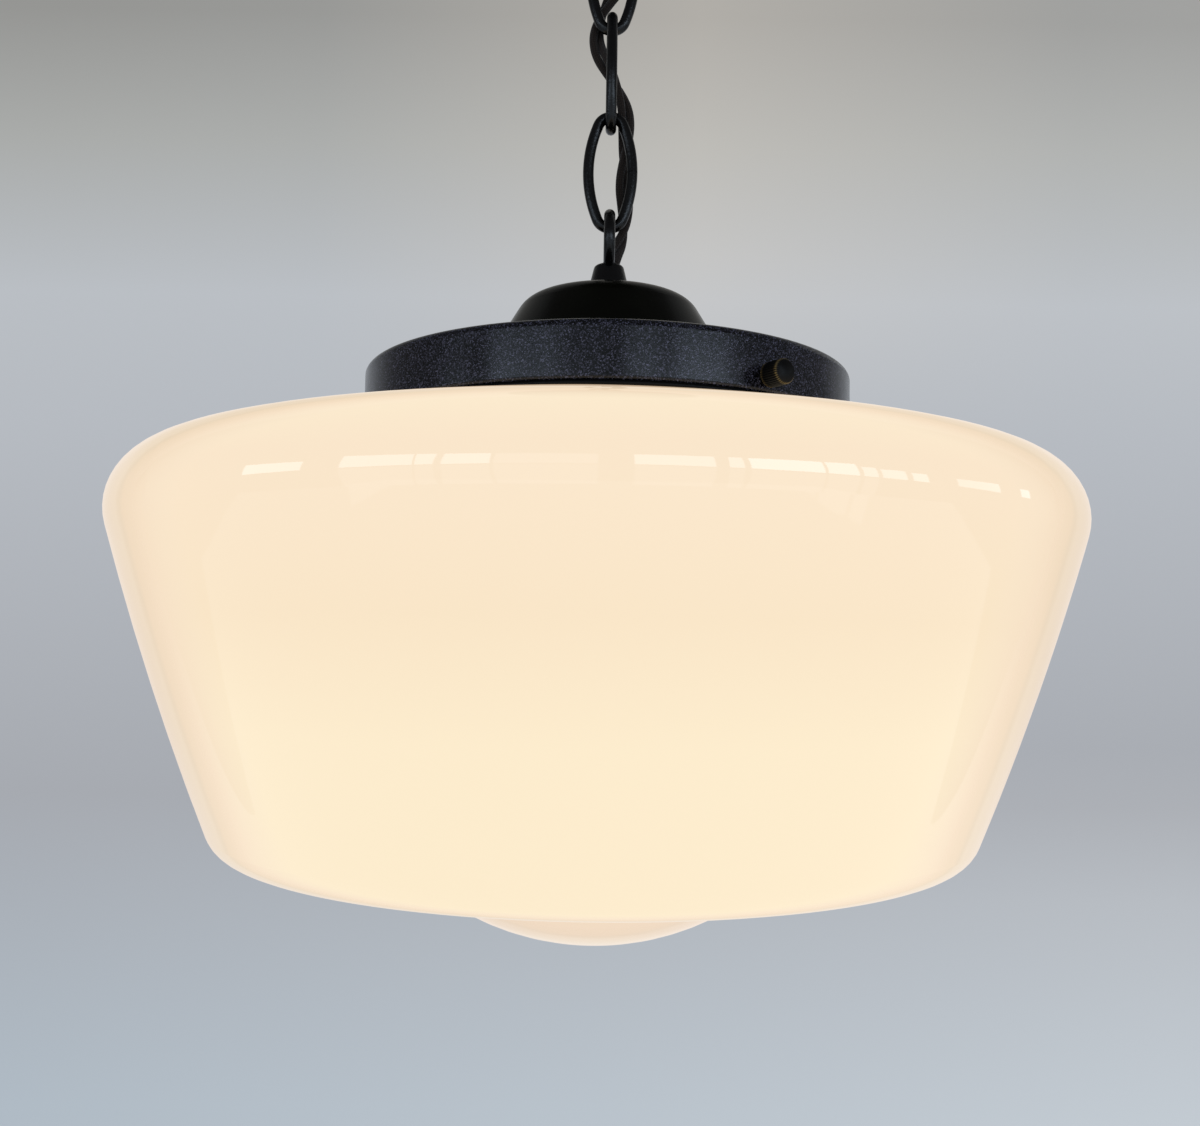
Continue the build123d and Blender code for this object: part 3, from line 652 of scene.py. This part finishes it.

# Wire connectors: moulded plastic cones with grip ribs, twisted over the splices. The
# plastic is a dull orange, with a fine random grain in its tone.
ribbed_rod = Recipe(
    "ribbed_rod",
    [
        "Near radius",
        "Far radius",
        "Length",
        "Edge",
        "Rib count",
        "Rib depth",
        "Thread pitch",
        "Thread depth",
    ],
    ["Around", "Along"],
)
near_radius, far_radius, rod_length, edge = ribbed_rod.given(
    "Near radius", "Far radius", "Length", "Edge"
)
rib_count, rib_depth, thread_pitch, thread_depth = ribbed_rod.given(
    "Rib count", "Rib depth", "Thread pitch", "Thread depth"
)
sides, rings = ribbed_rod.given("Around", "Along")
rod = ribbed_rod.node(
    "GeometryNodeMeshCylinder",
    {"fill_type": "TRIANGLE_FAN"},
    {"Vertices": sides, "Side Segments": rings, "Radius": 1.0, "Depth": 1.0},
)
rod_place = ribbed_rod.node("GeometryNodeInputPosition")
rod_x, rod_y, rod_z = (ribbed_rod.part_of(rod_place, axis) for axis in (0, 1, 2))
share_along = rod_z + 0.5
distance_along = share_along * rod_length
to_the_end = ribbed_rod.maths("MINIMUM", distance_along, rod_length - distance_along)
edge_share = (to_the_end / edge).clamped()
turn = ribbed_rod.maths("ARCTAN2", rod_y, rod_x)
rib_wave = ribbed_rod.maths("COSINE", turn * rib_count)
rib_dip = (rib_wave * 0.5 - 0.5) * rib_depth
thread_turns = distance_along / thread_pitch + turn / math.tau
thread_dip = (ribbed_rod.maths("COSINE", thread_turns * math.tau) * 0.5 - 0.5) * thread_depth
plain_radius = share_along * (far_radius - near_radius) + near_radius
edge_dip = (edge_share - 1.0) * edge
radius = plain_radius + edge_dip + rib_dip * edge_share + thread_dip
# The crests of the ribs next to the far rim are marked, for bare brass that is partly worn paint
# and partly painted glint.
rim_width = 0.0006
crest = (rib_wave + 1.0) * 0.5
on_rim = (1.0 - abs(to_the_end - edge) / rim_width).clamped()
rod = ribbed_rod.node(
    "GeometryNodeStoreNamedAttribute",
    {"data_type": "FLOAT", "domain": "POINT"},
    {"Geometry": rod, "Name": "worn_rim", "Value": on_rim * crest * edge_share},
)
shaped = ribbed_rod.vector(rod_x * radius, rod_y * radius, distance_along)
rod = ribbed_rod.node("GeometryNodeSetPosition", {}, {"Geometry": rod, "Position": shaped})
ribbed_rod.finish_with(rod)

orange = Finish("orange_plastic")
grain = orange.noise(scale=700.0, detail=3.0)
orange_material = orange.coated(
    {
        "Base Color": orange.mixed(grain, srgb(206, 92, 26), srgb(226, 118, 44)),
        "Roughness": grain * 0.15 + 0.4,
        "Normal": orange.relief(grain, strength=0.25, distance=0.0002),
    }
)
connector_radius = 0.0048
low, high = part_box("wire_connectors")
connector_y = high.y - connector_radius
connector_x = high.x - connector_radius
tip_radius = 0.003
for side, name in ((1, "wire_connector_a"), (-1, "wire_connector_b")):
    connector = ribbed_rod.make(
        name,
        {
            "Near radius": tip_radius,
            "Far radius": connector_radius,
            "Length": high.z - low.z,
            "Rib count": 14.0,
            "Rib depth": 0.0005,
            "Thread pitch": 1.0,
            "Thread depth": 0.0,
            "Edge": 0.0006,
            "Around": 84,
            "Along": 20,
            "Material": orange_material,
        },
    )
    connector.data.transform(Matrix.Translation((side * connector_x, side * connector_y, low.z)))
    connector.data.shade_smooth()
    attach(connector, "ceiling_mount")
    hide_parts("wire_connectors")


# Chain links, cast loops, canopy and collars: steel and zinc under a satin black coat. The
# coat has a fine orange peel and a faint random cloud in its tone.
def black_coat(name, tones, roughness, gloss, peel, flake=0.0):
    """Black paint; flake, where given, adds a metal fleck and is how metallic the flecks are. The
    flecks' pale bluish colour is partly painted glint.
    """
    finish = Finish(name)
    cloud = finish.noise(scale=140.0, detail=4.0)
    skin = finish.noise(scale=1100.0, detail=3.0)
    paint = finish.mixed(cloud, srgb(*tones[0]), srgb(*tones[1]))
    look = {
        "Roughness": cloud * 0.12 + roughness,
        "Specular IOR Level": gloss,
        "Normal": finish.relief(skin, strength=peel, distance=0.0004),
    }
    if flake:
        grains = {"Vector": finish.place(), "Scale": 3400.0}
        cell = finish.node("ShaderNodeTexVoronoi", {}, grains, output="Color")
        fleck = finish.part_of(cell, 0)
        coarse = finish.noise(scale=1600.0, detail=2.0)
        # Real metal fleck in the paint, coloured pale blue as a partly painted glint.
        paint = finish.mixed(fleck**5.0 * coarse * 1.4, paint, srgb(*tones[2]))
        look["Metallic"] = fleck * flake
        look["Normal"] = finish.relief(fleck * 0.2 + skin * 0.5, strength=peel, distance=0.0003)
    return finish.coated({"Base Color": paint, **look})


chain_black = black_coat(
    "chain_black", tones=[(4, 4, 4), (9, 8, 8)], roughness=0.18, gloss=0.3, peel=0.2
)
dress(
    chain_black,
    "link_1",
    "link_2",
    "link_3",
    "fixture_loop",
    "canopy_loop",
    "canopy_collar",
    "ceiling_canopy",
)

# Vase cap: a spun steel cup between the loop and the holder. It is in the same black as
# the chain, but smoother than the castings, and is clamped by the pipe nipple inside it.
cap_black = black_coat(
    "cap_black", tones=[(4, 4, 2), (9, 9, 5)], roughness=0.16, gloss=0.08, peel=0.04
)
dress(cap_black, "vase_cap")

# Shade holder: a drawn steel pan with a rolled bead at its foot, in black with a fine metal fleck
# that shows as grain along its wall. The flecks' pale bluish colour is partly painted glint.
holder_black = black_coat(
    "holder_black",
    tones=[(3, 3, 4), (6, 6, 7), (92, 92, 112)],
    roughness=0.14,
    gloss=0.26,
    peel=0.07,
    flake=0.1,
)
dress(holder_black, "shade_holder")
rolled_bead = Recipe("rolled_bead", ["Ring radius", "Bead radius", "Height"])
ring_radius, bead_round, bead_height = rolled_bead.given("Ring radius", "Bead radius", "Height")
bead_length_steps = 256
bead_sides = 16
bead_ring, bead_section = (
    rolled_bead.node(
        "GeometryNodeCurvePrimitiveCircle", {}, {"Resolution": sides, "Radius": radius}
    )
    for sides, radius in ((bead_length_steps, ring_radius), (bead_sides, bead_round))
)
bead = rolled_bead.node(
    "GeometryNodeCurveToMesh", {}, {"Curve": bead_ring, "Profile Curve": bead_section}
)
bead_lift = rolled_bead.vector(z=bead_height)
bead = rolled_bead.node("GeometryNodeSetPosition", {}, {"Geometry": bead, "Offset": bead_lift})
rolled_bead.finish_with(rolled_bead.node("GeometryNodeSetShadeSmooth", {}, {0: bead}))
holder_low, holder_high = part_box("shade_holder")
bead_radius = 0.00085
bead_overlap = 0.0002
bead_black = black_coat(
    "bead_black", tones=[(4, 4, 4), (7, 7, 7)], roughness=0.3, gloss=0.1, peel=0.1
)
holder_bead = rolled_bead.make(
    "holder_bead",
    {
        "Bead radius": bead_radius,
        "Ring radius": holder_high.x - bead_radius,
        "Height": holder_low.z - bead_radius + bead_overlap,
        "Material": bead_black,
    },
)
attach(holder_bead, "fixture")

# Lampholder: a moulded phenolic cap and body, brown-black with a faint fleck in the
# moulding, around a rolled brass screw shell, a sprung contact and two terminal screws.
phenolic = Finish("black_phenolic")
fleck = phenolic.noise(scale=260.0, detail=6.0)
moulded_skin = phenolic.noise(scale=1500.0, detail=2.0)
dress(
    phenolic.coated(
        {
            "Base Color": phenolic.mixed(fleck, srgb(20, 15, 14), srgb(44, 35, 31)),
            "Roughness": fleck * 0.25 + 0.32,
            "Normal": phenolic.relief(moulded_skin, strength=0.2, distance=0.0002),
        }
    ),
    "lampholder_cap",
    "lampholder_body",
)
shell_thread = plated(
    "shell_thread",
    dark=(0.6, 0.42, 0.16),
    bright=(0.84, 0.66, 0.32),
    roughness=0.22,
    thread_pitch=0.00363,
    thread_depth=0.0016,
)
dress(shell_thread, "screw_shell")
contact_brass = plated(
    "contact_brass",
    dark=(0.62, 0.45, 0.18),
    bright=(0.84, 0.68, 0.36),
    roughness=0.24,
)
dress(contact_brass, "centre_contact", "terminal_screws")

# Bulb: a frosted plastic dome on a white moulded housing, with a rolled nickel screw base
# and a soldered tip. It is lit, and warms the inside of the shade.
frosted = Finish("frosted_dome")
bloom = frosted.noise(scale=60.0, detail=3.0)
dress(
    frosted.coated(
        {
            "Base Color": frosted.mixed(bloom, (0.86, 0.83, 0.77), (0.92, 0.9, 0.85)),
            "Roughness": bloom * 0.15 + 0.5,
            "Emission Color": frosted.mixed(bloom, srgb(255, 232, 190), srgb(255, 240, 208)),
            "Emission Strength": 1.6,
        }
    ),
    "bulb_diffuser",
)
moulding = Finish("white_moulding")
mould_grain = moulding.noise(scale=1400.0, detail=2.0)
dress(
    moulding.coated(
        {
            "Base Color": moulding.mixed(mould_grain, srgb(232, 232, 226), srgb(244, 243, 238)),
            "Roughness": mould_grain * 0.2 + 0.36,
            "Normal": moulding.relief(mould_grain, strength=0.2, distance=0.0002),
        }
    ),
    "bulb_housing",
)
base_thread = plated(
    "base_thread",
    dark=(0.5, 0.48, 0.44),
    bright=(0.76, 0.73, 0.68),
    roughness=0.22,
    thread_pitch=0.00363,
    thread_depth=0.0018,
)
dress(base_thread, "bulb_screw_base")
solder = plated(
    "solder",
    dark=(0.36, 0.35, 0.34),
    bright=(0.62, 0.6, 0.57),
    roughness=0.34,
)
dress(solder, "bulb_contact")

# Glass shade: blown opal glass about three and a half millimetres thick, lit from inside.
# Its wall glows warm and even, with painted shade in the hollow above the tip, and its
# glow is painted darker and browner towards the outline.
opal = Finish("opal_glass")
height = opal.part_of(opal.place(), 2)
glass_bottom = -0.4027
glass_tall = 0.1809
up_the_glass = (height - glass_bottom) / glass_tall
body_glow = opal.ramp(
    up_the_glass,
    [
        (0.04, srgb(243, 219, 187)),
        (0.13, srgb(243, 225, 190)),
        (0.2, srgb(245, 228, 195)),
        (0.4, srgb(245, 228, 195)),
        (0.56, srgb(241, 221, 189)),
        (0.76, srgb(243, 223, 195)),
        (0.85, srgb(247, 232, 202)),
        (1.0, srgb(247, 232, 202)),
    ],
)
# Painted shade at the outline: the glow turns darker and browner where the surface turns away from
# the eye.
facing = opal.node("ShaderNodeLayerWeight", {}, {"Blend": 0.5}, output="Facing")
limb_shaded_glow = opal.ramp(
    facing,
    [
        (0.52, srgb(239, 220, 193)),
        (0.656, srgb(236, 214, 185)),
        (0.735, srgb(226, 203, 172)),
        (0.76, srgb(218, 197, 167)),
        (0.79, srgb(219, 199, 171)),
        (0.9, srgb(203, 182, 155)),
        (1.0, srgb(178, 154, 126)),
    ],
)
at_the_limb = opal.ramp(facing, [(0.5, (0.0, 0.0, 0.0)), (0.66, (1.0, 1.0, 1.0))])
drift = opal.noise(scale=11.0, detail=3.0)
glow = opal.mixed(at_the_limb, body_glow, limb_shaded_glow)
# Painted shade: a band up the glass, in the hollow above the tip, has its glow darkened.
hollow = {0.035: 0.0, 0.058: 1.0, 0.118: 1.0, 0.13: 0.0}
hollow_shade = opal.ramp(up_the_glass, [(up, (share,) * 3) for up, share in hollow.items()])
glow = opal.mixed(hollow_shade * 0.3, glow, srgb(200, 166, 138))
glow = opal.mixed(drift * 0.12, glow, srgb(244, 214, 190))
dress(
    opal.coated(
        {
            "Base Color": opal.mixed(drift, (0.08, 0.07, 0.06), (0.1, 0.085, 0.07)),
            "Roughness": drift * 0.02 + 0.02,
            "IOR": 1.5,
            "Emission Color": glow,
            "Emission Strength": 1.0,
        }
    ),
    "glass_shade",
)

# Thumbscrews: turned brass screws, painted black with the holder. Bare brass is painted on the
# knurl's crests at the rim, partly worn paint and partly a painted glint of the lit glass below.
screw_black = Finish("screw_black")
rubbed = screw_black.noise(scale=900.0, detail=3.0)
worn_rim = screw_black.node("ShaderNodeAttribute", {"attribute_name": "worn_rim"}, output="Fac")
# Bare brass on the knurl's crests at the rim: partly worn paint, partly a painted glint.
bare = (worn_rim * rubbed * 1.6).clamped()
screw_material = screw_black.coated(
    {
        "Base Color": screw_black.mixed(bare, srgb(3, 3, 3), srgb(134, 116, 78)),
        "Metallic": bare,
        "Roughness": 0.34 + rubbed * 0.12,
        "Specular IOR Level": 0.15,
        "Normal": screw_black.relief(rubbed, strength=0.2, distance=0.0002),
    }
)
screw_angles = [-57.0, 63.0, 186.0]
neck_radius = 0.0691
glass_shift = -0.0027
screw_tip_gap = 0.00012
screw_length = 0.021
head_length = 0.007
head_radius = 0.0036
shank_radius = 0.00205
knurl_depth = 0.00032
thread_rise = 0.00028
screw_pitch = 0.0007
head_edge = 0.00045
shank_edge = 0.0004
head_start = screw_length - head_length
# For each part: where it starts, its length, radius, ribs, thread, edge and mesh counts.
screw_parts = {
    "_head": (head_start, head_length, head_radius, 34.0, 0.0, head_edge, 204, 16),
    "_shank": (0.0, head_start, shank_radius, 0.0, thread_rise, shank_edge, 24, 140),
}
for number, degrees in enumerate(screw_angles, 1):
    node = "thumbscrew_" + str(number)
    angle = math.radians(degrees)
    off_axis = glass_shift * math.sin(angle)
    tip = glass_shift * math.cos(angle) + math.sqrt(neck_radius**2 - off_axis**2) + screw_tip_gap
    low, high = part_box(node)
    aim = Matrix.Translation((0, 0, (low.z + high.z) / 2)) @ Matrix.Rotation(angle, 4, "Z")
    aim = aim @ Matrix.Rotation(math.radians(90), 4, "Y")
    for ending, sizes in screw_parts.items():
        start, length, radius, ribs, thread, edge, around, along = sizes
        screw = ribbed_rod.make(
            node + ending,
            {
                "Near radius": radius,
                "Far radius": radius,
                "Length": length,
                "Rib count": ribs,
                "Rib depth": knurl_depth if ribs else 0.0,
                "Thread pitch": screw_pitch,
                "Thread depth": thread,
                "Edge": edge,
                "Around": around,
                "Along": along,
                "Material": screw_material,
            },
        )
        screw.data.transform(aim @ Matrix.Translation((0, 0, tip + start)))
        screw.data.shade_smooth()
        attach(screw, node)
        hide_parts(node)
